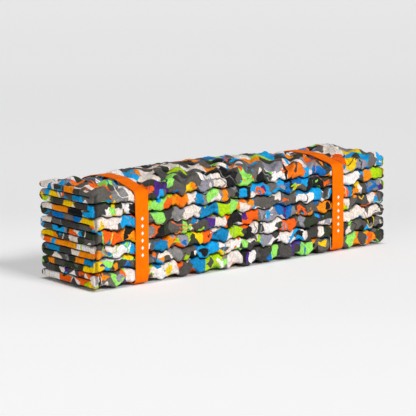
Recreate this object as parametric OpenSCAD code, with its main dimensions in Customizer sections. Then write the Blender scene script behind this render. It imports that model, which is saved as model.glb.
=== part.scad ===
// Accordion-fold closed-cell foam sleeping pad, folded and held by two elastic bands.
// Frame: X runs along the folded pack, Y from its front fold face to its back, Z up.
// The origin is the middle of the underside of the bands, on the ground.
// Panel 01 is the lowest. Odd living hinges lie on the front face and even ones on the back.

/* [Foam sheet] */
// Width of the mat, which is the length of the folded pack
pad_w = 560; // [400:40:640]
// Distance from one fold line to the next
fold_pitch = 134.1; // [110:0.1:150]
// Thickness of the foam skin, measured straight through
foam_t = 9.3; // [6:0.1:9.3]
// Step in height from one folded panel to the next
stack_pitch = 9.75; // [9.75:0.05:12]

/* [Egg-crate bumps] */
// Height of a bump above the middle of the sheet
bump_h = 4.4; // [1:0.1:4.5]
// Distance from one bump to the next along the pack
bump_pitch = 40; // [40:40:80]
// Half-bumps between two fold lines, an even number
bump_rows = 6; // [2:2:10]

/* [Living hinges] */
// Thickness of the thin web that bridges two panels
web_t = 1.65; // [1:0.05:3]
// How far the outer edge of a panel is chamfered, in height
nose_drop = 4; // [2:0.1:5]
// How far back that chamfer runs
nose_run = 5.25; // [3:0.25:8]

/* [Elastic bands] */
// Width of the webbing
band_w = 23; // [15:1:40]
// Thickness of the webbing
band_t = 1.3; // [0.8:0.1:2.5]
// Distance of the left band from the middle of the pack
band_left_x = 197; // [100:1:230]
// Distance of the right band from the middle of the pack
band_right_x = 180; // [100:1:230]
// Inner radius at the corners of the loop
band_r = 5; // [3:0.5:5]
// Free space between webbing and foam
band_gap = 0.4; // [0.3:0.1:1]
// Length of the sewn overlap
lap_len = 34; // [20:1:60]
// Stitches in each bar tack
tack_stitches = 9; // [3:1:9]

/* [Hidden] */

panels = 14;
edge_gap = 0.15;                                  // the foam stops this far short of each fold line
fold_y = fold_pitch / 2;                          // fold lines lie at +fold_y and -fold_y
web_y = fold_y - edge_gap;                        // outermost foam
edge_y = web_y - web_t;                           // panel edges
cells_x = round(pad_w / (bump_pitch / 2));        // half-bumps along the pack
first_mid = band_t + band_gap + bump_h + foam_t / 2;   // middle of panel 01
stack_top = first_mid + (panels - 1) * stack_pitch + foam_t / 2 + bump_h;
loop_y = web_y + band_gap;                        // inside of the loop, front and back
loop_z0 = band_t;                                 // inside of the loop, lowest
loop_z1 = stack_top + band_gap;                   // inside of the loop, highest
// Colours of the foam scrap that the sheet is pressed from
SCRAP = ["#3f3f40", "#f26a1b", "#1d8fd0", "#e9ddcf", "#8d8ba0", "#a6cf1c", "#2d3a2c"];
ORANGE = "#ff6a13";

// Middle height of panel k, 1 at the bottom
function mid(k) = first_mid + (k - 1) * stack_pitch;
// +1, -1, +1 ... along the pack, and 0 at both ends, where the sheet has a flat border
function wave_x(i) = (i == 0 || i == cells_x) ? 0 : (i % 2 == 1 ? 1 : -1);
function grid_x(i) = -pad_w / 2 + i * pad_w / cells_x;
// Bump rows across a panel, with one more row at each edge for the chamfer
function rows_y() = concat(
    [-edge_y, -edge_y + nose_run],
    [for (j = [1 : bump_rows - 1]) -edge_y + j * 2 * edge_y / bump_rows],
    [edge_y - nose_run, edge_y]);
function row_sign(j) = j % 2 == 0 ? 1 : -1;
// Share of the bump height at depth y, straight between bump rows
function wave_y(y) =
    let (u = (y + edge_y) / (2 * edge_y) * bump_rows,
         j = min(bump_rows - 1, floor(u + 1e-9)), f = u - j)
    row_sign(j) * (1 - f) + row_sign(j + 1) * f;

// One egg-crate panel of foam.
// front and back say which outer edge is chamfered there: -1 the lower, 1 the upper, 0 none.
// rim says which outer face has a flat border along its back edge: -1 the lower, 1 the upper, 0 none.
module panel_solid(k, front, back, rim) {
    ys = rows_y();
    ny = len(ys);
    nx = cells_x + 1;
    function bump(i, j, side) = rim == side && j >= ny - 2 ? 0 : bump_h * wave_x(i) * wave_y(ys[j]);
    top = [for (i = [0 : nx - 1], j = [0 : ny - 1])
        [grid_x(i), ys[j], mid(k) + foam_t / 2 + bump(i, j, 1)
            - ((j == 0 && front == 1) || (j == ny - 1 && back == 1) ? nose_drop : 0)]];
    low = [for (i = [0 : nx - 1], j = [0 : ny - 1])
        [grid_x(i), ys[j], mid(k) - foam_t / 2 + bump(i, j, -1)
            + ((j == 0 && front == -1) || (j == ny - 1 && back == -1) ? nose_drop : 0)]];
    n = nx * ny;
    function at(i, j) = i * ny + j;
    // the diagonal of each cell runs along the ridge between two bumps
    skin = [for (i = [0 : nx - 2], j = [0 : ny - 2])
        let (a = at(i, j), b = at(i + 1, j), c = at(i + 1, j + 1), d = at(i, j + 1))
        each ((i + j) % 2 == 0 ? [[a, d, c], [a, c, b]] : [[a, d, b], [b, d, c]])];
    under = [for (f = skin) [f[0] + n, f[2] + n, f[1] + n]];
    ends = [for (i = [0, nx - 1], j = [0 : ny - 2])
        let (a = at(i, j), d = at(i, j + 1))
        each (i == 0 ? [[a, a + n, d + n], [a, d + n, d]] : [[a, d + n, a + n], [a, d, d + n]])];
    sides = [for (j = [0, ny - 1], i = [0 : nx - 2])
        let (a = at(i, j), b = at(i + 1, j))
        each (j == 0 ? [[a, b + n, a + n], [a, b, b + n]] : [[a, a + n, b + n], [a, b + n, b]])];
    polyhedron(points = concat(top, low), faces = concat(skin, under, ends, sides), convexity = 10);
}

module panel(k) {
    front = k % 2 == 1 ? -1 : 1;
    rim = k == 1 ? -1 : (k == panels ? 1 : 0);
    back = rim != 0 ? 0 : (k % 2 == 1 ? 1 : -1);
    color(SCRAP[(k * 3) % len(SCRAP)]) panel_solid(k, front, back, rim);
}

// Thin web of foam that joins panel k to panel k + 1, and follows the wave of their edges
module hinge_web(k) {
    s = k % 2 == 1 ? -1 : 1;                      // front or back
    reach = foam_t - nose_drop + stack_pitch / 2 - foam_t / 2;
    lip = reach * 0.5;
    section = [[edge_y, -reach], [web_y, -lip], [web_y, lip], [edge_y, reach]];
    z0 = mid(k) + stack_pitch / 2;
    pts = [for (i = [0 : cells_x], q = section)
        [grid_x(i), s * q[0], z0 + bump_h * wave_x(i) * wave_y(s * edge_y) + q[1]]];
    walls = [for (i = [0 : cells_x - 1], q = [0 : 3])
        let (a = i * 4 + q, b = i * 4 + (q + 1) % 4, c = a + 4, d = b + 4)
        each [[a, b, d], [a, d, c]]];
    e = cells_x * 4;
    caps = [[0, 3, 2, 1], [e, e + 1, e + 2, e + 3]];
    faces = concat(walls, caps);
    color(SCRAP[(k * 3 + 1) % len(SCRAP)])
        polyhedron(points = pts, faces = s == 1 ? [for (f = faces) [for (q = [len(f) - 1 : -1 : 0]) f[q]]] : faces,
                   convexity = 4);
}

// Rectangle with true round corners, from -w to w and from z0 to z1
module round_rect(w, z0, z1, r) {
    for (x = [-w + r, w - r], z = [z0 + r, z1 - r]) translate([x, z]) circle(r, $fn = 32);
    translate([-w + r, z0]) square([2 * (w - r), z1 - z0]);
    translate([-w, z0 + r]) square([2 * w, z1 - z0 - 2 * r]);
}

// One elastic band: a loop of webbing round the stack, its end lapped over at the back
module band(x) {
    mid_z = (loop_z0 + loop_z1) / 2;
    color(ORANGE) {
        translate([x - band_w / 2, 0, 0]) rotate([90, 0, 90]) linear_extrude(band_w)
            difference() {
                round_rect(loop_y + band_t, loop_z0 - band_t, loop_z1 + band_t, band_r + band_t);
                round_rect(loop_y, loop_z0, loop_z1, band_r);
            }
        translate([x - band_w / 2, loop_y + band_t / 2, mid_z - lap_len / 2])
            cube([band_w, band_t * 1.5, lap_len]);
    }
}

// Bar tacks that close the lap: short stitches of thread, standing on the webbing
module band_stitching(x) {
    mid_z = (loop_z0 + loop_z1) / 2;
    step = (band_w - 4) / tack_stitches;
    color("#d4500c")
        for (z = [mid_z - lap_len / 2 + 4, mid_z + lap_len / 2 - 4], i = [0 : tack_stitches - 1])
            translate([x - band_w / 2 + 2 + (i + 0.2) * step, loop_y + 2 * band_t, z - 1.6])
                cube([step * 0.6, 0.35, 3.2]);
}

panel(1);  // panel_01
panel(2);  // panel_02
panel(3);  // panel_03
panel(4);  // panel_04
panel(5);  // panel_05
panel(6);  // panel_06
panel(7);  // panel_07
panel(8);  // panel_08
panel(9);  // panel_09
panel(10);  // panel_10
panel(11);  // panel_11
panel(12);  // panel_12
panel(13);  // panel_13
panel(14);  // panel_14
hinge_web(1);  // hinge_web_01
hinge_web(2);  // hinge_web_02
hinge_web(3);  // hinge_web_03
hinge_web(4);  // hinge_web_04
hinge_web(5);  // hinge_web_05
hinge_web(6);  // hinge_web_06
hinge_web(7);  // hinge_web_07
hinge_web(8);  // hinge_web_08
hinge_web(9);  // hinge_web_09
hinge_web(10);  // hinge_web_10
hinge_web(11);  // hinge_web_11
hinge_web(12);  // hinge_web_12
hinge_web(13);  // hinge_web_13
band(-band_left_x);  // band_left
band(band_right_x);  // band_right
band_stitching(-band_left_x);  // band_left_stitching
band_stitching(band_right_x);  // band_right_stitching
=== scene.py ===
import math
import bpy
import numpy as np
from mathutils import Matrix, Quaternion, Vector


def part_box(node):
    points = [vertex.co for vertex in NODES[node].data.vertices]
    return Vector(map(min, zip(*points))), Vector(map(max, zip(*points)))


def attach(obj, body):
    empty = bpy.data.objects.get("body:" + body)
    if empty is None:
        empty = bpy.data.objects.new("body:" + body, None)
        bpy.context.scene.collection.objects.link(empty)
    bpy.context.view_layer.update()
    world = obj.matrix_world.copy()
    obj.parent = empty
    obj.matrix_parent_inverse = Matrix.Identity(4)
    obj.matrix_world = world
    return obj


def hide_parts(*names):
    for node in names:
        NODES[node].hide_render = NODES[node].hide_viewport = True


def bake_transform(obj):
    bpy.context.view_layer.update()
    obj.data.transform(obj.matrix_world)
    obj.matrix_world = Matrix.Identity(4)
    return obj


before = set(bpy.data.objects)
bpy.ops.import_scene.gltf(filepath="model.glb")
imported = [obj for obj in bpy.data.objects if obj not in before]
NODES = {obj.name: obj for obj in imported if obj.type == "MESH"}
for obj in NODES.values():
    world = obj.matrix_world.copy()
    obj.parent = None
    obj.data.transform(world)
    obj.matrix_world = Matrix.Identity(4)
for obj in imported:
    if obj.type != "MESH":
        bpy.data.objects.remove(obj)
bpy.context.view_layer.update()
N = 14


def box_mm(node):
    lo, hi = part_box(node)
    return np.array(lo) * 1000, np.array(hi) * 1000


# ---------------------------------------------------------------- measures from the frame, in mm
BOX = {n: box_mm(n) for n in NODES}
MID = [None] + [(BOX["panel_%02d" % k][0][2] + BOX["panel_%02d" % k][1][2]) / 2 for k in range(1, N + 1)]
PITCH = (MID[13] - MID[2]) / 11
XE = BOX["panel_05"][1][0]                      # ends of the pack
NOSE = -BOX["hinge_web_01"][0][1]               # outermost foam, front and back
EDGE = -BOX["panel_05"][0][1]                   # CAD panel edge, where the wave of the bumps has its crest
AMP = (BOX["panel_05"][1][2] - BOX["panel_05"][0][2]) / 2 - 4.65
BAND_X = {s: (BOX["band_" + s][0][0] + BOX["band_" + s][1][0]) / 2 for s in ("left", "right")}
BAND_W = BOX["band_left"][1][0] - BOX["band_left"][0][0]
TOP = MID[14] + PITCH / 2 + AMP
FOLD_S = 2 * NOSE + 0.76 * PITCH                # sheet length from one fold to the next, on the skin
GAP = 0.30                                      # between two layers that lie on each other
SKIN = 1.5                                      # thickness of the skin that wraps a fold


# ---------------------------------------------------------------- small maths
def ramp(t):
    t = np.clip(t, 0, 1)
    return t * t * (3 - 2 * t)


def waves(x, y, seed, wavelength, n=12):
    """Smooth seeded noise of about unit size: a sum of plane waves."""
    r = np.random.RandomState(seed)
    out = np.zeros(np.broadcast(x, y).shape)
    for _ in range(n):
        a, l, p = r.uniform(0, 2 * np.pi), wavelength * r.uniform(0.75, 1.45), r.uniform(0, 2 * np.pi)
        out += np.sin((x * math.cos(a) + y * math.sin(a)) * (2 * np.pi / l) + p)
    return out * math.sqrt(2.0 / n)


def near_band(x, reach):
    return np.maximum(np.exp(-((x - BAND_X["left"]) / reach) ** 2), np.exp(-((x - BAND_X["right"]) / reach) ** 2))


def settle(x, y, z):
    """How the elastic bands and the foam's own spring shift a point of the plain stack: pinched at the bands, bowed up between them at the back."""
    u = np.clip(z / TOP, 0, 1.05)
    mid = (BAND_X["left"] + BAND_X["right"]) / 2
    half = (BAND_X["right"] - BAND_X["left"]) / 2
    bow = np.clip(1 - ((x - mid) / half) ** 2, 0, 1) ** 0.8
    depth = np.clip((y + NOSE) / (2 * NOSE), 0, 1)
    lift = 7.5 * bow * depth ** 1.4 * u ** 3
    outer = ramp((np.abs(x - mid) - half - 10) / 60)
    lift += outer * u ** 2 * (0.7 + 0.9 * depth + 4.2 * depth ** 4 * (x > 0))
    tight = near_band(x, 30)
    front = ramp((-y - 6) / 56)
    pinch = 1.0 * u - 2.4 * u ** 3 * (1 - (y / NOSE) ** 2) + 5.6 * u ** 5 * ramp((y - 30) / 38) + 10.5 * u ** 6 * front
    return lift - tight * pinch


def iface(k, x, y):
    """Height of the surface between panel k and panel k + 1 (0 is the underside, 14 the top)."""
    z0 = MID[1] + (k - 0.5) * PITCH
    xj = x + 2.3 * waves(x, y, 11, 95) + 1.3 * waves(x, y, 100 + k, 60)
    yj = y + 1.0 * waves(x, y, 12, 90) + 0.8 * waves(x, y, 200 + k, 55)
    c = -np.cos(np.pi * (xj + XE) / 20) * np.cos(np.pi * (yj + EDGE) / (2 * EDGE / 6))
    c = 0.6 * c + 0.4 * np.sin(c * np.pi / 2)
    rim = ramp((np.abs(y) - 46) / 14)
    c = c * (1 + 0.16 * waves(x, y, 250 + k, 70)) * (1 - (0 if k in (0, N) else 0.52) * rim)
    if k >= 12:
        c = c * (1 - 0.6 * near_band(x, 15))           # pressed flat under the bands
    flat = ramp((XE - np.abs(x)) / 11.0)
    if k in (0, 14):
        mid = (BAND_X["left"] + BAND_X["right"]) / 2
        bowed = ramp((150 - np.abs(x - mid)) / 50) if k else 0
        flat = flat * (1 - 0.92 * ramp((y - 44 + 20 * bowed) / 16))
    elif k in (1, 13):
        flat = flat * (1 - 0.45 * ramp((y - 38) / 16))
    if k in (0, N):
        # the open faces of the mat: round domes over a flatter ground
        up = 1 if k else -1
        cc = c * up
        dome = 1.18 + 0.38 * ramp((-y - 28) / 22) if k else 0.85
        c = up * np.where(cc > 0, dome * np.abs(cc) ** (0.6 if k else 0.8), (1.0 if k else 0.62) * cc)
    rough = 0.42 * waves(x, y, 300 + k, 26) + 0.22 * waves(x, y, 400 + k, 11)
    rough += rim * (0.70 * waves(x, 37.0 * k + 0 * y, 900 + k, 15) + 0.62 * waves(x, 11.0 * k + 0 * y, 950 + k, 8.0))
    z = z0 + (AMP - 0.2) * c * flat + rough * (0.3 + 0.7 * flat)
    z = z + settle(x, y, z)
    if k == 0:
        # the foam sags to the ground between the bands and rests on them beside
        on_band = near_band(x, 26)
        z = np.maximum(z - 1.6 * (1 - on_band), 0.5 + 1.9 * on_band)
    return z


def sheet_coords(k, x, y, z):
    """Where a point of panel k lies in the unfolded sheet: along the fold line, along the mat, and through its thickness, in mm."""
    lo, hi = iface(k - 1, x, y), iface(k, x, y)
    n = (z - lo) / (hi - lo)
    near = ramp((np.abs(y) - 48) / 15)
    if k % 2:
        n = 1 - n
    skew = 0.76 * PITCH * (0.5 + (n - 0.5) * near)
    along = FOLD_S * k - (NOSE + y + skew) if k % 2 else FOLD_S * (k - 1) + (NOSE + y + skew)
    return x, 0.7 * along, 0.5 * PITCH * n


def crevice(k, x, y, z):
    """Mask for painted shade: 1 inside the narrow grooves between layers, at the folds and at the cut ends, where the
    skin's colour is darkened to stand in for shade, and 0 on the open faces.
    """
    n = (z - iface(k - 1, x, y)) / (iface(k, x, y) - iface(k - 1, x, y))
    e, t = NOSE - np.abs(y), XE - np.abs(x)
    groove = ramp((e - 2.0) / 2.6) * (1 - ramp((e - 9.0) / 5.0))
    groove = np.maximum(groove, ramp((t - 0.5) / 1.8) * (1 - ramp((t - 5.5) / 4.0)))
    if k == N:
        groove = groove * (1 - ramp((n - 0.3) / 0.3))
    elif k == 1:
        groove = groove * ramp((n - 0.4) / 0.3)
    return groove


# ---------------------------------------------------------------- the rounded fold
ROUND = {-1: (5.0, 3.7), 1: (8.4, 6.4)}    # rounding of a fold's outer corner at the front and the back: inwards, and in height
WRAP_IN = 12.0             # how far back the skin of a fold runs on the panels' faces


def open_half(e):
    """Half the gap between two layers on the side where they are not joined: it opens out towards the edge."""
    return GAP / 2 + 0.7 * ramp((15.0 - e) / 9.0)


def nose_profile(face, arc, run, r_y):
    """Stations of a fold's outline from its middle line out to the flat face: (part, value, inset direction)."""
    st = [("face", t, 90.0) for t in np.linspace(0, 1, face)]
    st += [("arc", a, a) for a in np.linspace(90, 0, arc + 2)[1:-1]]
    st += [("run", e, 0.0) for e in np.linspace(r_y, WRAP_IN, run)]
    return st


def nose_point(k_mid, k_out, side, x, station, inset, end_in):
    """One station of a fold's outline as (y, z). k_mid is the surface inside the fold, k_out the one on its outside."""
    part, v, a = station
    r_y, r_z = ROUND[side]
    up = 1.0 if k_out > k_mid else -1.0
    y_ref = side * (NOSE - r_y)
    zm = iface(k_mid, x, y_ref)
    ze = iface(k_out, x, y_ref) - up * open_half(r_y)
    high = np.abs(ze - zm)
    tall = np.maximum(high - r_z, 1.0)
    f = k_mid
    lump = 0.9 * np.cos(np.pi * (x + XE) / 20 + 0.6 * np.sin(f * 2.1)) + 0.8 * waves(x, 0 * x + 40 * f, 500 + f, 46)
    free = 1 - 0.95 * near_band(x, 16)
    ends = ramp((XE - np.abs(x)) / 16.0)
    if part == "face":
        zeta = v * tall
        e = 0 * x
    elif part == "arc":
        s, c = math.sin(math.radians(v)), math.cos(math.radians(v))
        zeta = tall + (high - tall) * c
        e = r_y * (1 - s) + 0 * x
    else:
        zeta = high
        e = v + 0 * x
    share = ramp(1 - e / 9.0)
    q = np.clip(zeta / high, 0, 1)
    out = 0.9 * (1 - q ** 2) + 0.45 * (1.4 - ends) * np.exp(-zeta / 1.4)
    out = out * (0.3 + 0.7 * free) - 0.35 * (1 - free)
    out = out + (lump * (0.3 + 0.7 * ends) + 0.55 * waves(x, zeta * 1.0 + 7 * f, 600 + f, 11)) * free - 0.8
    out = out * share
    e = e - out
    w = inset * ramp((WRAP_IN - 0.8 - v) / 5.0) if part == "run" else inset
    ca, sa = math.cos(math.radians(a)), math.sin(math.radians(a))
    e = e + (w + end_in * sa) * sa
    y = side * (NOSE - e)
    if part == "run":
        z = iface(k_out, x, y) - up * (open_half(v) + w + end_in)
    else:
        z = zm + up * (zeta - (w + end_in) * ca)
    return y, z


def end_round(x):
    """The cut ends are a little crushed: how far the skin is pulled in there."""
    t = np.clip((XE - np.abs(x)) / 3.4, 0, 1)
    return 1.45 * (1 - np.sqrt(1 - (1 - t) ** 2)) + 0.4 * ramp((11 - (XE - np.abs(x))) / 11)


def x_columns(step):
    inner = np.linspace(-XE + 5.5, XE - 5.5, int(round((2 * XE - 11) / step)) + 1)
    near = np.array([0.0, 0.25, 0.8, 1.7, 2.8, 4.0])
    return np.concatenate([-XE + near, inner, (XE - near)[::-1]])


# ---------------------------------------------------------------- meshes
def new_object(name, verts_mm, faces, tex_mm=None, mats=(), face_mat=None, sharp=None, crevice_shade=None):
    mesh = bpy.data.meshes.new(name)
    verts = np.asarray(verts_mm, float) * 0.001
    lens = np.array([len(f) for f in faces], np.int32)
    flat = np.fromiter((i for f in faces for i in f), np.int32, int(lens.sum()))
    mesh.vertices.add(len(verts))
    mesh.vertices.foreach_set("co", verts.astype(np.float32).ravel())
    mesh.loops.add(len(flat))
    mesh.loops.foreach_set("vertex_index", flat)
    mesh.polygons.add(len(faces))
    starts = np.concatenate([[0], np.cumsum(lens)[:-1]]).astype(np.int32)
    mesh.polygons.foreach_set("loop_start", starts)
    for m in mats:
        mesh.materials.append(m)
    if face_mat is not None:
        mesh.polygons.foreach_set("material_index", np.asarray(face_mat, np.int32))
    mesh.polygons.foreach_set("use_smooth", np.ones(len(faces), bool))
    mesh.update(calc_edges=True)
    mesh.validate()
    if tex_mm is not None:
        at = mesh.attributes.new("tex", "FLOAT_VECTOR", "POINT")
        at.data.foreach_set("vector", (np.asarray(tex_mm, float) * 0.001).astype(np.float32).ravel())
    # the mask of painted shade in the grooves between layers, read by the foam skin's material
    if crevice_shade is not None:
        at = mesh.attributes.new("crevice_shade", "FLOAT", "POINT")
        at.data.foreach_set("value", np.asarray(crevice_shade, np.float32).ravel())
    if sharp is not None:
        mesh.set_sharp_from_angle(angle=math.radians(sharp))
    ob = bpy.data.objects.new(name, mesh)
    bpy.context.scene.collection.objects.link(ob)
    return ob


def tube(points, caps):
    """Faces of a closed loop swept along the columns: points is (columns, loop), caps a list of index lists of one loop."""
    nc, nl = points
    i = np.arange(nc - 1)[:, None] * nl
    j = np.arange(nl)[None, :]
    j2 = (j + 1) % nl
    quads = np.stack([i + j, i + j2, i + nl + j2, i + nl + j], -1).reshape(-1, 4)
    faces = [tuple(q) for q in quads.tolist()]
    body = len(faces)
    for c in caps:
        faces.append(tuple(reversed(c)))
    last = (nc - 1) * nl
    for c in caps:
        faces.append(tuple(last + v for v in c))
    return faces, body


COLS = x_columns(2.3)
FACE, ARC, RUN = 6, 5, 5
STATIONS = {side: nose_profile(FACE, ARC, RUN, ROUND[side][0]) for side in (-1, 1)}
IN_Y = np.linspace(-(NOSE - WRAP_IN), NOSE - WRAP_IN, 35)
OUTLINE = {}


def end_wobble(k, y):
    return 0.5 * math.sin(k * 2.4) + 0.35 * waves(y, 0 * y, 700 + k, 60)


def panel_mesh(k, mats):
    """One foam panel: a closed loop in Y and Z swept along X. The outer corner of each fold is pulled in by the skin that wraps it."""
    x = COLS
    er = end_round(x)
    odd = k % 2 == 1
    a_out, b_out = (k - 1, k) if odd else (k, k - 1)   # surface outside the front fold, and outside the back fold
    loop = []

    def inner(kk, y, e):
        up = 1.0 if kk == k else -1.0
        shut = ramp((e - 6.5) / 6.0)
        return iface(kk, x, y) - up * ((GAP / 2) * (0.15 + 0.85 * shut) + er * shut)

    # front fold, from the inner surface round to the outer one
    for st in STATIONS[-1]:
        loop.append(nose_point(b_out, a_out, -1, x, st, SKIN, er))
    upA = 1.0 if a_out == k else -1.0
    for y in IN_Y[1:-1]:
        yy = y + 0 * x
        loop.append((yy, iface(a_out, x, yy) - upA * (open_half(NOSE + y) + er)))
    free = k in (1, 14)
    upB = 1.0 if b_out == k else -1.0
    if free:
        # free back edge: both corners rounded
        r = 3.6
        ye = NOSE - 1.2 + 0.8 * waves(x, 0 * x, 800 + k, 70) - 0.6 * near_band(x, 20)
        for e in (9.0, 6.0, 3.8):
            yy = ye - e
            loop.append((yy, iface(a_out, x, yy) - upA * (GAP / 2 + er)))
        zA = iface(a_out, x, ye - 3.6) - upA * (GAP / 2 + er)
        zB = iface(b_out, x, ye - 3.6) - upB * (GAP / 2 + er)
        for a in (25, 50, 75):
            s, c = math.sin(math.radians(a)), math.cos(math.radians(a))
            loop.append((ye - r + r * s, zA - upA * r * (1 - c)))
        loop.append((ye + 0 * x, (zA + zB) / 2))
        for a in (75, 50, 25):
            s, c = math.sin(math.radians(a)), math.cos(math.radians(a))
            loop.append((ye - r + r * s, zB - upB * r * (1 - c)))
        for e in (3.8, 6.0, 9.0):
            yy = ye - e
            loop.append((yy, iface(b_out, x, yy) - upB * (GAP / 2 + er)))
    else:
        for e in np.linspace(WRAP_IN, 2.4, 5):
            yy = NOSE - e + 0 * x
            loop.append((yy, inner(a_out, yy, e)))
        for st in STATIONS[1]:
            loop.append(nose_point(a_out, b_out, 1, x, st, SKIN, er))
    for y in IN_Y[1:-1][::-1]:
        yy = y + 0 * x
        loop.append((yy, iface(b_out, x, yy) - upB * (open_half(NOSE - y) + er)))
    for e in np.linspace(WRAP_IN, 2.4, 5):
        yy = -(NOSE - e) + 0 * x
        loop.append((yy, inner(b_out, yy, e)))
    Y = np.stack([p[0] for p in loop], 1)
    Z = np.stack([p[1] for p in loop], 1)
    X = np.repeat(x[:, None], Y.shape[1], 1)
    at_end = ramp((6 - (XE - np.abs(X))) / 6)
    Xw = X + np.sign(X) * at_end * (end_wobble(k, Y) - 0.3)
    nc, nl = Y.shape
    cap = list(range(nl))
    faces, body = tube((nc, nl), [cap])
    if not odd:
        faces = [tuple(reversed(f)) for f in faces]
    tex = np.stack(sheet_coords(k, X, Y, Z), -1)
    verts = np.stack([Xw, Y, Z], -1)
    OUTLINE["panel_%02d" % k] = verts
    fm = [0] * body + [1] * (len(faces) - body)
    # the last argument is the mask of painted shade in the grooves
    return new_object("foam_panel_%02d" % k, verts.reshape(-1, 3), faces, tex.reshape(-1, 3), mats, fm, 42, crevice(k, X, Y, Z))


def wrap_mesh(f, mats):
    """The skin of foam that runs round fold f, over the edges of panel f below and panel f + 1 above it. Its ends taper to nothing on the panels' faces."""
    side = -1 if f % 2 else 1
    x = COLS
    er = end_round(x)
    pts, own = [], []
    low = [nose_point(f, f - 1, side, x, st, 0.0, er) for st in STATIONS[side]]
    high = [nose_point(f, f + 1, side, x, st, 0.0, er) for st in STATIONS[side]]
    low_in = [nose_point(f, f - 1, side, x, st, SKIN - 0.04, er) for st in STATIONS[side]]
    high_in = [nose_point(f, f + 1, side, x, st, SKIN - 0.04, er) for st in STATIONS[side]]
    # outer line from the low end to the high end, then back along the inside
    for p in low[::-1]:
        pts.append(p); own.append(f)
    for p in high[1:]:
        pts.append(p); own.append(f + 1)
    lift = 0.05
    n_out = len(pts)
    for p in high_in[::-1]:
        pts.append(p); own.append(f + 1)
    for p in low_in[1:]:
        pts.append(p); own.append(f)
    Y = np.stack([p[0] for p in pts], 1)
    Z = np.stack([p[1] for p in pts], 1)
    # the two ends stand a hair proud, so that the panel's own face doesn't show through
    nrun = RUN
    for j in range(nrun):
        Z[:, j] -= lift
        Z[:, n_out - 1 - j] += lift
    X = np.repeat(x[:, None], Y.shape[1], 1)
    at_end = ramp((6 - (XE - np.abs(X))) / 6)
    wob = (end_wobble(f, Y) + end_wobble(f + 1, Y)) / 2
    frac = np.array([0.0 if o == f else 1.0 for o in own])[None, :]
    wob = end_wobble(f, Y) * (1 - frac) + end_wobble(f + 1, Y) * frac
    Xw = X + np.sign(X) * at_end * (wob - 0.3)
    T, crevice_shade = np.zeros(Y.shape + (3,)), np.zeros(Y.shape)
    # painted shade mask in the grooves, and the sheet coordinates, from the panel that each station belongs to
    for o in (f, f + 1):
        sel = [i for i, w in enumerate(own) if w == o]
        crevice_shade[:, sel] = crevice(o, X[:, sel], Y[:, sel], Z[:, sel])
        T[:, sel] = np.stack(sheet_coords(o, X[:, sel], Y[:, sel], Z[:, sel]), -1)
    nc, nl = Y.shape
    # end caps as quads between the outside and the inside
    n_in = nl - n_out
    caps = []
    m = min(n_out, n_in + 1)
    inner = list(range(nl - 1, n_out - 1, -1))
    outer = list(range(n_out))
    # both lists run from the low end to the high end; the inside has the same stations
    for a in range(n_out - 1):
        ia, ib = inner[min(a, n_in - 1)], inner[min(a + 1, n_in - 1)]
        q = [outer[a], outer[a + 1], ib, ia]
        q = [v for i, v in enumerate(q) if v not in q[:i]]
        if len(q) > 2:
            caps.append(q)
    faces, body = tube((nc, nl), caps)
    if side > 0:
        faces = [tuple(reversed(q)) for q in faces]
    verts = np.stack([Xw, Y, Z], -1)
    OUTLINE["fold_%02d" % f] = verts
    fm = [0] * body + [1] * (len(faces) - body)
    return new_object("foam_fold_%02d" % f, verts.reshape(-1, 3), faces, T.reshape(-1, 3), mats, fm, 50, crevice_shade)


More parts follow.
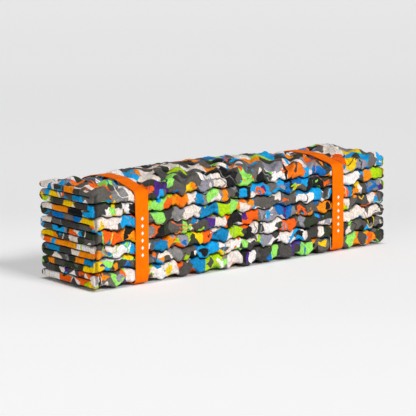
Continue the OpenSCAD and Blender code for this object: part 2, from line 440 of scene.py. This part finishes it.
# ---------------------------------------------------------------- node helpers
class Tree:
    def __init__(self, name):
        self.mat = bpy.data.materials.new(name)
        self.mat.use_nodes = True
        self.t = self.mat.node_tree
        self.t.nodes.clear()
        self.out = self.t.nodes.new("ShaderNodeOutputMaterial")
        self.bsdf = self.t.nodes.new("ShaderNodeBsdfPrincipled")
        self.t.links.new(self.bsdf.outputs[0], self.out.inputs[0])

    def node(self, kind, **props):
        n = self.t.nodes.new(kind)
        for k, v in props.items():
            setattr(n, k, v)
        return n

    def put(self, socket, value):
        if isinstance(value, bpy.types.NodeSocket):
            self.t.links.new(value, socket)
        else:
            socket.default_value = value

    def attr(self, name):
        return self.node("ShaderNodeAttribute", attribute_name=name).outputs["Vector"]

    def noise(self, vec, scale, detail=2.0, rough=0.5, out="Fac"):
        n = self.node("ShaderNodeTexNoise")
        self.put(n.inputs["Vector"], vec)
        n.inputs["Scale"].default_value = scale
        n.inputs["Detail"].default_value = detail
        n.inputs["Roughness"].default_value = rough
        return n.outputs[out]

    def voronoi(self, vec, scale, feature="F1", out="Color", randomness=1.0):
        n = self.node("ShaderNodeTexVoronoi", feature=feature)
        self.put(n.inputs["Vector"], vec)
        n.inputs["Scale"].default_value = scale
        n.inputs["Randomness"].default_value = randomness
        return n.outputs[out]

    def math(self, op, a, b=0.0, c=0.0, clamp=False):
        n = self.node("ShaderNodeMath", operation=op, use_clamp=clamp)
        self.put(n.inputs[0], a)
        self.put(n.inputs[1], b)
        if len(n.inputs) > 2:
            self.put(n.inputs[2], c)
        return n.outputs[0]

    def vmath(self, op, a, b=None, scale=None):
        n = self.node("ShaderNodeVectorMath", operation=op)
        self.put(n.inputs[0], a)
        if b is not None:
            self.put(n.inputs[1], b)
        if scale is not None:
            self.put(n.inputs["Scale"], scale)
        return n.outputs[0]

    def split(self, vec):
        n = self.node("ShaderNodeSeparateXYZ")
        self.put(n.inputs[0], vec)
        return n.outputs

    def remap(self, v, a, b, c, d, smooth=True):
        n = self.node("ShaderNodeMapRange", interpolation_type="SMOOTHSTEP" if smooth else "LINEAR")
        self.put(n.inputs["Value"], v)
        for s, x in zip(("From Min", "From Max", "To Min", "To Max"), (a, b, c, d)):
            n.inputs[s].default_value = x
        return n.outputs["Result"]

    def mix(self, fac, a, b, kind="MIX"):
        n = self.node("ShaderNodeMix", data_type="RGBA", blend_type=kind)
        self.put(n.inputs[0], fac)
        self.put(n.inputs[6], a)
        self.put(n.inputs[7], b)
        return n.outputs[2]

    def grey(self, v):
        n = self.node("ShaderNodeCombineColor")
        for s in n.inputs[:3]:
            self.put(s, v)
        return n.outputs[0]

    def fmix(self, fac, a, b):
        n = self.node("ShaderNodeMix", data_type="FLOAT")
        self.put(n.inputs[0], fac)
        self.put(n.inputs[2], a)
        self.put(n.inputs[3], b)
        return n.outputs[0]

    def bump(self, height, distance, strength=1.0, normal=None):
        n = self.node("ShaderNodeBump")
        n.inputs["Strength"].default_value = strength
        n.inputs["Distance"].default_value = distance
        self.put(n.inputs["Height"], height)
        if normal is not None:
            self.put(n.inputs["Normal"], normal)
        return n.outputs[0]


def srgb(h, a=1.0):
    h = h.lstrip("#")
    c = [int(h[i:i + 2], 16) / 255 for i in (0, 2, 4)]
    return tuple((v / 12.92 if v <= 0.04045 else ((v + 0.055) / 1.055) ** 2.4) for v in c) + (a,)


# scrap colours and the share of the sheet that each takes, in per cent
PALETTE = [
    ("#605b55", 8), ("#ff6402", 5.5), ("#f4e6da", 2.5), ("#403f3b", 8), ("#06a6e8", 5.5), ("#f4e6da", 8),
    ("#353d2b", 6), ("#97949f", 5), ("#ff9000", 5.5), ("#f0e4dc", 2.5), ("#161616", 6.5), ("#0089c2", 4.5),
    ("#9cec66", 3.5), ("#f8f2ee", 6), ("#6f6a66", 5), ("#ff7800", 1.5), ("#06a6e8", 1.5), ("#0070c0", 2.2),
    ("#ffd000", 3.5), ("#504d49", 5), ("#b4dc00", 2.5),
    ("#8a8886", 3), ("#522688", 1.8),
]


SHEET_FROM = (1.18, 3.61, 0.77)       # where in the endless pattern this mat was cut from


def palette_ramp(tree, value):
    ramp_node = tree.node("ShaderNodeValToRGB")
    cr = ramp_node.color_ramp
    cr.interpolation = "CONSTANT"
    total = sum(w for _, w in PALETTE)
    at, stops = 0.0, []
    for h, w in PALETTE:
        stops.append((at, h))
        at += w / total
    cr.elements[0].position, cr.elements[0].color = 0.0, srgb(stops[0][1])
    cr.elements[1].position, cr.elements[1].color = stops[1][0], srgb(stops[1][1])
    for p, h in stops[2:]:
        e = cr.elements.new(p)
        e.color = srgb(h)
    tree.put(ramp_node.inputs[0], value)
    return ramp_node.outputs[0]


def foam_material(name, cut):
    m = Tree(name)
    p = m.vmath("ADD", m.attr("tex"), SHEET_FROM)
    # bend the space, so that the scraps have curved, torn outlines
    w1 = m.vmath("SUBTRACT", m.noise(p, 26.0, 1.0, 0.5, "Color"), (0.5, 0.5, 0.5))
    w2 = m.vmath("SUBTRACT", m.noise(p, 110.0, 2.0, 0.55, "Color"), (0.5, 0.5, 0.5))
    q = m.vmath("ADD", p, m.vmath("SCALE", w1, scale=0.0090))
    q = m.vmath("ADD", q, m.vmath("SCALE", w2, scale=0.0032))
    big = m.split(m.voronoi(q, 43.0))
    small = m.split(m.voronoi(m.vmath("ADD", q, (0.31, 0.17, 0.05)), 84.0))
    pick = m.math("GREATER_THAN", small[1], 0.78)
    value = m.fmix(pick, big[0], small[0])
    # thin streaks and swirls of another scrap
    swirl = m.noise(m.vmath("ADD", q, (1.7, 0.9, 0.4)), 17.0, 1.0, 0.5)
    line = m.math("LESS_THAN", m.math("ABSOLUTE", m.math("SUBTRACT", swirl, 0.56)), 0.005)
    value = m.fmix(line, value, m.split(m.voronoi(q, 15.0))[2])
    col = palette_ramp(m, m.math("MULTIPLY", value, 0.9999))
    # each scrap has its own slight shade, mottled
    tone = m.noise(p, 420.0, 3.0, 0.6)
    tone2 = m.noise(p, 70.0, 2.0, 0.5)
    shade = m.math("ADD", m.remap(tone, 0.3, 0.7, 0.80, 1.13), m.remap(tone2, 0.3, 0.7, -0.06, 0.06))
    # shallow wrinkles, with the colour darker along their creases
    crease = m.math("ABSOLUTE", m.math("SUBTRACT", m.noise(p, 190.0, 3.0, 0.6), 0.5))
    wrinkle = m.remap(crease, 0.0, 0.035, 0.0, 1.0)
    shade = m.math("MULTIPLY", shade, m.remap(wrinkle, 0.0, 1.0, 0.90 if not cut else 0.88, 1.0))
    hsv = m.node("ShaderNodeHueSaturation")
    m.put(hsv.inputs["Color"], col)
    m.put(hsv.inputs["Value"], shade)
    col = hsv.outputs[0]
    # relief: seams between scraps, an uneven skin and fine closed cells
    seam = m.voronoi(q, 43.0, "DISTANCE_TO_EDGE", "Distance")
    edge = m.remap(seam, 0.0, 0.07, 0.0, 1.0)
    dim = m.remap(seam, 0.0, 0.03, 0.80, 1.0)
    # painted shade: the skin's colour is darkened down to 0.34 in the grooves between layers, at the folds and at the
    # cut ends
    if not cut:
        painted_crevice_shade = m.node("ShaderNodeAttribute", attribute_name="crevice_shade").outputs["Fac"]
        dim = m.math("MULTIPLY", dim, m.remap(painted_crevice_shade, 0.0, 1.0, 1.0, 0.34, False))
    col = m.mix(1.0, col, m.grey(dim), "MULTIPLY")
    uneven = m.noise(p, 150.0, 3.0, 0.55)
    cells = m.voronoi(p, 1100.0 if not cut else 800.0, "SMOOTH_F1", "Distance")
    grain = m.noise(p, 900.0, 2.0, 0.6)
    b = m.bump(edge, 0.0005, 0.6)
    b = m.bump(uneven, 0.0030, 0.7 if not cut else 0.3, b)
    b = m.bump(wrinkle, 0.0006, 0.45 if not cut else 0.3, b)
    b = m.bump(m.noise(p, 330.0, 3.0, 0.6), 0.0022, 0.85 if not cut else 0.35, b)
    b = m.bump(cells, 0.00020 if not cut else 0.0004, 0.5, b)
    b = m.bump(grain, 0.00016, 0.4, b)
    rough = m.remap(m.noise(p, 260.0, 2.0, 0.5), 0.3, 0.7, 0.32 if not cut else 0.72, 0.52 if not cut else 0.9)
    m.put(m.bsdf.inputs["Base Color"], col)
    m.put(m.bsdf.inputs["Roughness"], rough)
    m.put(m.bsdf.inputs["Normal"], b)
    m.bsdf.inputs["Specular IOR Level"].default_value = 0.18 if not cut else 0.05
    return m.mat


def webbing_material():
    m = Tree("orange_webbing")
    p = m.attr("tex")
    s = m.split(p)
    pi2 = 2 * math.pi
    along = m.math("SINE", m.math("MULTIPLY", s[0], pi2 / 0.0016))
    ribs = m.math("SINE", m.math("MULTIPLY", s[1], pi2 / 0.0011))
    weave = m.math("MULTIPLY", along, ribs)
    fuzz = m.noise(p, 1500.0, 3.0, 0.7)
    wear = m.noise(p, 60.0, 3.0, 0.6)
    v = m.math("ADD", m.remap(weave, -1, 1, 0.90, 1.06), m.remap(wear, 0.3, 0.7, -0.05, 0.05))
    v = m.math("ADD", v, m.remap(fuzz, 0.3, 0.7, -0.05, 0.05))
    base = m.mix(m.remap(wear, 0.35, 0.65, 0.0, 0.35), srgb("#ff7000"), srgb("#ff7e00"))
    hsv = m.node("ShaderNodeHueSaturation")
    m.put(hsv.inputs["Color"], base)
    m.put(hsv.inputs["Value"], v)
    m.put(m.bsdf.inputs["Base Color"], hsv.outputs[0])
    b = m.bump(m.remap(weave, -1, 1, 0, 1), 0.00016, 0.7)
    b = m.bump(m.remap(along, -1, 1, 0, 1), 0.00012, 0.5, b)
    b = m.bump(fuzz, 0.00012, 0.5, b)
    m.put(m.bsdf.inputs["Normal"], b)
    m.bsdf.inputs["Roughness"].default_value = 0.62
    m.bsdf.inputs["Specular IOR Level"].default_value = 0.04
    m.bsdf.inputs["Sheen Weight"].default_value = 0.0
    m.bsdf.inputs["Sheen Roughness"].default_value = 0.4
    return m.mat


def thread_material():
    m = Tree("orange_thread")
    p = m.attr("tex")
    s = m.split(p)
    twist = m.math("SINE", m.math("MULTIPLY", m.math("ADD", s[0], m.math("MULTIPLY", s[1], 2.0)), 2 * math.pi / 0.0006))
    v = m.remap(twist, -1, 1, 0.75, 1.1)
    hsv = m.node("ShaderNodeHueSaturation")
    hsv.inputs["Color"].default_value = srgb("#e0500a")
    m.put(hsv.inputs["Value"], v)
    m.put(m.bsdf.inputs["Base Color"], hsv.outputs[0])
    m.put(m.bsdf.inputs["Normal"], m.bump(m.remap(twist, -1, 1, 0, 1), 0.0001, 0.8))
    m.bsdf.inputs["Roughness"].default_value = 0.6
    return m.mat


def print_material():
    m = Tree("white_print")
    p = m.attr("tex")
    worn = m.noise(p, 900.0, 3.0, 0.7)
    m.put(m.bsdf.inputs["Base Color"], m.mix(m.remap(worn, 0.35, 0.65, 0.0, 0.3), srgb("#f6efe8"), srgb("#ffc9a0")))
    m.put(m.bsdf.inputs["Normal"], m.bump(worn, 0.0001, 0.5))
    m.bsdf.inputs["Roughness"].default_value = 0.55
    return m.mat


# painted light: brightness of the table against the distance behind the pack, in m along the view, graded in its colour
# to stand in for how the light falls on it
PAINTED_TABLE_LIGHT = [(-1.2, 0.985), (-0.77, 0.981), (-0.5, 0.964), (-0.27, 0.922), (0.0, 0.908), (0.14, 0.88), (0.48, 0.804), (1.75, 0.803), (3.4, 0.837), (6.4, 0.858), (12.0, 0.86)]


def floor_material():
    """A pale table whose colour is graded with distance (painted light), and which glows a little though it is no lamp
    (painted light), except under the pack (painted shadow).
    """
    m = Tree("pale_floor_painted_light")
    x, y, _ = m.split(m.node("ShaderNodeTexCoord").outputs["Object"])
    away = m.math("ADD", m.math("MULTIPLY", x, 0.62), m.math("MULTIPLY", y, 0.78))
    lo, hi = PAINTED_TABLE_LIGHT[0][0], PAINTED_TABLE_LIGHT[-1][0]
    node = m.node("ShaderNodeValToRGB")
    cr = node.color_ramp
    cr.interpolation = "EASE"
    for i, (d, v) in enumerate(PAINTED_TABLE_LIGHT):
        e = cr.elements[0] if i == 0 else cr.elements[-1] if i == len(PAINTED_TABLE_LIGHT) - 1 else cr.elements.new((d - lo) / (hi - lo))
        e.position, e.color = (d - lo) / (hi - lo), (v, v, v * 1.002, 1)
    m.put(node.inputs[0], m.remap(away, lo, hi, 0.0, 1.0, False))
    m.put(m.bsdf.inputs["Base Color"], m.mix(1.0, node.outputs[0], (0.69, 0.69, 0.69, 1), "MULTIPLY"))
    # painted light and painted shadow: the table glows faintly in its graded colour though it is no lamp, and the glow
    # is off under the pack's footprint, fading in over 10 mm outside it
    past = m.math("MAXIMUM", m.math("SUBTRACT", m.math("ABSOLUTE", x), (XE - 3.0) / 1000), m.math("SUBTRACT", m.math("ABSOLUTE", y), (NOSE - 5.0) / 1000))
    m.put(m.bsdf.inputs["Emission Color"], m.mix(m.remap(past, 0.0, 0.010, 0.0, 1.0), (0, 0, 0, 1), node.outputs[0]))
    m.bsdf.inputs["Emission Strength"].default_value = 0.415
    m.bsdf.inputs["Roughness"].default_value = 0.75
    m.bsdf.inputs["Specular IOR Level"].default_value = 0.1
    return m.mat


FOAM, FOAM_CUT = foam_material("scrap_foam_skin", False), foam_material("scrap_foam_cut", True)
WEB, THREAD, PRINT = webbing_material(), thread_material(), print_material()

# ---------------------------------------------------------------- the mat
for k in range(1, N + 1):
    ob = panel_mesh(k, [FOAM, FOAM_CUT])
    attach(ob, "panel_%02d" % k)
    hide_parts("panel_%02d" % k)
for f in range(1, N):
    ob = wrap_mesh(f, [FOAM, FOAM_CUT])
    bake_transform(ob)
    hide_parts("hinge_web_%02d" % f)


# ---------------------------------------------------------------- the elastic bands
def hull2(points):
    """Convex hull of 2-D points, counter-clockwise."""
    pts = sorted(set(map(tuple, np.round(points, 3))))

    def half(seq):
        out = []
        for p in seq:
            while len(out) > 1 and (out[-1][0] - out[-2][0]) * (p[1] - out[-2][1]) - (out[-1][1] - out[-2][1]) * (p[0] - out[-2][0]) <= 0:
                out.pop()
            out.append(p)
        return out
    a, b = half(pts), half(pts[::-1])
    return np.array(a[:-1] + b[:-1])


def taut_loop(x0):
    """The line a taut band takes round the foam near x0, in Y and Z, rounded at its corners, evenly spaced, starting at the middle of the back."""
    near = []
    for v in OUTLINE.values():
        flat = v.reshape(-1, 3)
        near.append(flat[np.abs(flat[:, 0] - x0) < BAND_W / 2 + 1][:, 1:])
    h = hull2(np.concatenate(near))
    # round it: grow each hull point into a small circle
    a = np.linspace(0, 2 * np.pi, 24, endpoint=False)
    ring = np.stack([np.cos(a), np.sin(a)], 1) * 0.35
    h = hull2((h[:, None, :] + ring[None]).reshape(-1, 2))
    h = np.vstack([h, h[:1]])
    d = np.concatenate([[0], np.cumsum(np.linalg.norm(np.diff(h, axis=0), axis=1))])
    n = 300
    s = np.linspace(0, d[-1], n, endpoint=False)
    p = np.stack([np.interp(s, d, h[:, 0]), np.interp(s, d, h[:, 1])], 1)
    # elastic webbing doesn't crease: smooth the turns
    for _ in range(5):
        p = 0.5 * p + 0.25 * (np.roll(p, 1, 0) + np.roll(p, -1, 0))
    t = np.roll(p, -1, 0) - np.roll(p, 1, 0)
    t /= np.linalg.norm(t, axis=1)[:, None]
    nrm = np.stack([t[:, 1], -t[:, 0]], 1)
    p = p + nrm * 0.35
    start = np.argmin(np.hypot(p[:, 0] - NOSE, p[:, 1] - TOP / 2))
    p, nrm = np.roll(p, -start, 0), np.roll(nrm, -start, 0)
    return p, nrm


def strap_shell(name, x0, path, normal, closed, thick, base=0.0, skew=0.0):
    """Webbing of a given thickness on a path in Y and Z: rounded selvedges, closed shell."""
    across = np.array([-1.0, -0.985, -0.93, -0.7, -0.35, 0.0, 0.35, 0.7, 0.93, 0.985, 1.0])
    hw = BAND_W / 2
    # outline of the webbing's section: outside from one selvedge to the other, then inside back
    outer = [(c * hw, thick * (0.5 + 0.5 * math.sqrt(max(0, 1 - max(0, (abs(c) - 0.93) / 0.07) ** 2))) + 0.10 * (1 - c * c)) for c in across]
    inner = [(c * hw, thick * (0.5 - 0.5 * math.sqrt(max(0, 1 - max(0, (abs(c) - 0.93) / 0.07) ** 2)))) for c in across[1:-1][::-1]]
    sec = outer + inner
    n, m = len(path), len(sec)
    s = np.concatenate([[0], np.cumsum(np.linalg.norm(np.diff(path, axis=0), axis=1))])
    V = np.zeros((n, m, 3)); T = np.zeros((n, m, 3))
    sway = skew * np.sin(np.linspace(0, 2 * np.pi, n)) if closed else np.zeros(n)
    for j, (cx, h) in enumerate(sec):
        V[:, j, 0] = x0 + cx + sway
        V[:, j, 1] = path[:, 0] + normal[:, 0] * (base + h)
        V[:, j, 2] = path[:, 1] + normal[:, 1] * (base + h)
        T[:, j] = np.stack([np.full(n, cx), s, np.full(n, h)], 1)
    faces = []
    for i in range(n if closed else n - 1):
        i2 = (i + 1) % n
        for j in range(m):
            j2 = (j + 1) % m
            faces.append((i * m + j, i2 * m + j, i2 * m + j2, i * m + j2))
    if not closed:
        faces.append(tuple(range(m)))
        faces.append(tuple(reversed([(n - 1) * m + j for j in range(m)])))
    return new_object(name, V.reshape(-1, 3), faces, T.reshape(-1, 3), [WEB], None, 50), s


def prism(name_parts, polys, base, up, thick):
    """Adds flat prisms: polys are lists of 3-D corners on the surface, up the outward direction."""
    verts, faces = name_parts
    for poly in polys:
        o = len(verts)
        n = len(poly)
        c = np.mean(poly, 0)
        for p in poly:
            verts.append(p + up * base)
        for p in poly:
            verts.append(c + (p - c) * 0.94 + up * (base + thick))
        faces.append(tuple(reversed(range(o, o + n))))
        faces.append(tuple(range(o + n, o + 2 * n)))
        for i in range(n):
            j = (i + 1) % n
            faces.append((o + i, o + j, o + n + j, o + n + i))


def thread_run(points, radius, verts, faces, tex, sides=8):
    """A round thread along points, with rounded ends."""
    pts = np.asarray(points, float)
    n = len(pts)
    s = np.concatenate([[0], np.cumsum(np.linalg.norm(np.diff(pts, axis=0), axis=1))])
    tan = np.gradient(pts, axis=0)
    tan /= np.linalg.norm(tan, axis=1)[:, None]
    o = len(verts)
    for i in range(n):
        ref = np.array([0, 1.0, 0])
        a = np.cross(tan[i], ref); a /= np.linalg.norm(a)
        b = np.cross(a, tan[i])
        r = radius * math.sqrt(max(0.15, min(1, 1 - (1 - min(1, min(i, n - 1 - i) / 2.0)) ** 2)))
        for q in range(sides):
            g = 2 * math.pi * q / sides
            verts.append(pts[i] + r * (math.cos(g) * a + math.sin(g) * b))
            tex.append((s[i], q * radius * 0.8, 0))
    for i in range(n - 1):
        for q in range(sides):
            q2 = (q + 1) % sides
            faces.append((o + i * sides + q, o + i * sides + q2, o + (i + 1) * sides + q2, o + (i + 1) * sides + q))
    faces.append(tuple(reversed(range(o, o + sides))))
    faces.append(tuple(range(o + (n - 1) * sides, o + n * sides)))


THICK = 1.3
for s in ("left", "right"):
    x0 = BAND_X[s]
    path, nrm = taut_loop(x0)
    band, length = strap_shell("webbing_" + s, x0, path, nrm, True, THICK, skew=0.6 if s == "left" else -0.5)
    # the end of the webbing laps over at the middle of the back
    i0 = 17
    lap_path = np.vstack([path[-i0:], path[:i0]])
    lap_nrm = np.vstack([nrm[-i0:], nrm[:i0]])
    lap, _ = strap_shell("webbing_lap_" + s, x0, lap_path, lap_nrm, False, THICK, base=THICK + 0.02)
    # bar tacks: a dense zigzag of thread at each end of the lap
    verts, faces, tex = [], [], []
    zc = (lap_path[:, 1].min() + lap_path[:, 1].max()) / 2
    half = (lap_path[:, 1].max() - lap_path[:, 1].min()) / 2
    for zz in (zc - half + 5, zc + half - 5):
        i = np.argmin(np.abs(path[:, 1] - zz) + 1000 * (path[:, 0] < 0))
        yb = path[i, 0] + nrm[i, 0] * (2 * THICK + 0.05)
        pts = []
        n = 34
        for q in range(n + 1):
            xx = x0 - BAND_W / 2 + 3 + (BAND_W - 6) * q / n
            up = 1.9 if q % 2 else -1.9
            for t in (-1, 1):
                pts.append((xx + 0.12 * t, yb + 0.18, zz + up + (0.25 if (t > 0) == (q % 2 == 0) else -0.25)))
            pts.append((xx + (BAND_W - 6) / n / 2, yb + 0.34, zz))
        thread_run(pts, 0.27, verts, faces, tex, 6)
    tack = new_object("bar_tacks_" + s, np.array(verts), faces, np.array(tex), [THREAD], None, 60)
    # plain printed marks down the front: a row of small lozenges
    verts, faces = [], []
    front = [i for i in range(len(path)) if path[i, 0] < 0 and 12 < path[i, 1] < TOP - 14]
    zs = [path[i, 1] for i in front]
    for q in range(6):
        zz = 43 + 10.6 * q if s == "left" else 33 + 10.6 * q
        i = front[int(np.argmin(np.abs(np.array(zs) - zz)))]
        up = np.array([0, nrm[i, 0], nrm[i, 1]])
        c = np.array([x0 + 0.3, path[i, 0], path[i, 1]]) + up * (THICK + 0.09)
        w, h = 2.5, 3.1
        along = np.array([0, nrm[i, 1], -nrm[i, 0]])
        along = along / np.linalg.norm(along)
        side = np.array([1.0, 0, 0])
        poly = [c - side * w, c - along * h, c + side * w, c + along * h]
        if np.dot(np.cross(poly[1] - poly[0], poly[2] - poly[0]), up) < 0:
            poly = poly[::-1]
        prism((verts, faces), [poly], -0.03, up, 0.10)
    verts = np.array(verts)
    marks = new_object("printed_marks_" + s, verts, faces, verts, [PRINT], None, 40)
    body = "band_" + s
    for ob, slot in ((band, "webbing"), (lap, "webbing"), (tack, "thread"), (marks, "webbing")):
        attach(ob, body)
    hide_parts(body)
    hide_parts(body + "_stitching")

# ---------------------------------------------------------------- floor, light and camera
def table_floor():
    """A wide pale table, under and all round the pack."""
    at = [-40000.0, -2000.0, -500.0, 0.0, 500.0, 2000.0, 40000.0]
    n = len(at)
    verts = [(x, y, 0.0) for x in at for y in at]
    faces = [(i * n + j, (i + 1) * n + j, (i + 1) * n + j + 1, i * n + j + 1) for i in range(n - 1) for j in range(n - 1)]
    ob = new_object("studio_floor", np.array(verts), faces, None, [floor_material()], None, None)
    return ob


table_floor()


def area(name, loc, aim, size, power, colour=(1, 1, 1), size_y=None):
    data = bpy.data.lights.new(name, "AREA")
    data.energy, data.size, data.color = power, size, colour
    if size_y:
        data.shape, data.size_y = "RECTANGLE", size_y
    ob = bpy.data.objects.new(name, data)
    bpy.context.scene.collection.objects.link(ob)
    ob.location = loc
    ob.rotation_euler = (Vector(aim) - Vector(loc)).to_track_quat("-Z", "Y").to_euler()
    return ob


def sun(name, toward, strength, angle, colour=(1, 1, 1)):
    data = bpy.data.lights.new(name, "SUN")
    data.energy, data.angle, data.color = strength, math.radians(angle), colour
    ob = bpy.data.objects.new(name, data)
    bpy.context.scene.collection.objects.link(ob)
    ob.rotation_euler = Vector(toward).to_track_quat("Z", "Y").to_euler()
    return ob


sun("key", (0.14, -1.22, 1.02), 2.5, 18)
sun("fill", (-0.85, -0.35, 0.45), 0.32, 40)
area("sheen", (0.6, 1.2, 1.5), (0, 0, 0.1), 0.9, 1.5)
world = bpy.data.worlds.new("studio")
bpy.context.scene.world = world
world.use_nodes = True
bg = world.node_tree.nodes["Background"]
# pale all round the horizon, dimmer above
up = world.node_tree.nodes.new("ShaderNodeSeparateXYZ")
level = world.node_tree.nodes.new("ShaderNodeMapRange")
world.node_tree.links.new(world.node_tree.nodes.new("ShaderNodeTexCoord").outputs["Generated"], up.inputs[0])
world.node_tree.links.new(up.outputs[2], level.inputs["Value"])
level.interpolation_type = "SMOOTHSTEP"
for socket, v in zip(("From Min", "From Max", "To Min", "To Max"), (0.09, 0.24, 0.80, 0.19)):
    level.inputs[socket].default_value = v
world.node_tree.links.new(level.outputs["Result"], bg.inputs[1])
bg.inputs[0].default_value = (0.985, 0.99, 1.0, 1)
bpy.context.scene.view_settings.view_transform = "Standard"

AZ, EL, DIST, LENS = -38.5, 9.74, 2.80, 160.9
TARGET, ROLL = Vector((-0.0222, 0.0, 0.0826)), -0.43
cam_data = bpy.data.cameras.new("camera")
cam = bpy.data.objects.new("camera", cam_data)
bpy.context.scene.collection.objects.link(cam)
a, e = math.radians(AZ), math.radians(EL)
back = Vector((math.sin(a) * math.cos(e), -math.cos(a) * math.cos(e), math.sin(e)))
cam.location = TARGET + back * DIST
cam.rotation_mode = "QUATERNION"
cam.rotation_quaternion = (-back).to_track_quat("-Z", "Y") @ Quaternion((0, 0, 1), math.radians(ROLL))
cam_data.lens, cam_data.sensor_width = LENS, 36.0
cam_data.clip_start, cam_data.clip_end = 0.05, 60
bpy.context.scene.camera = cam
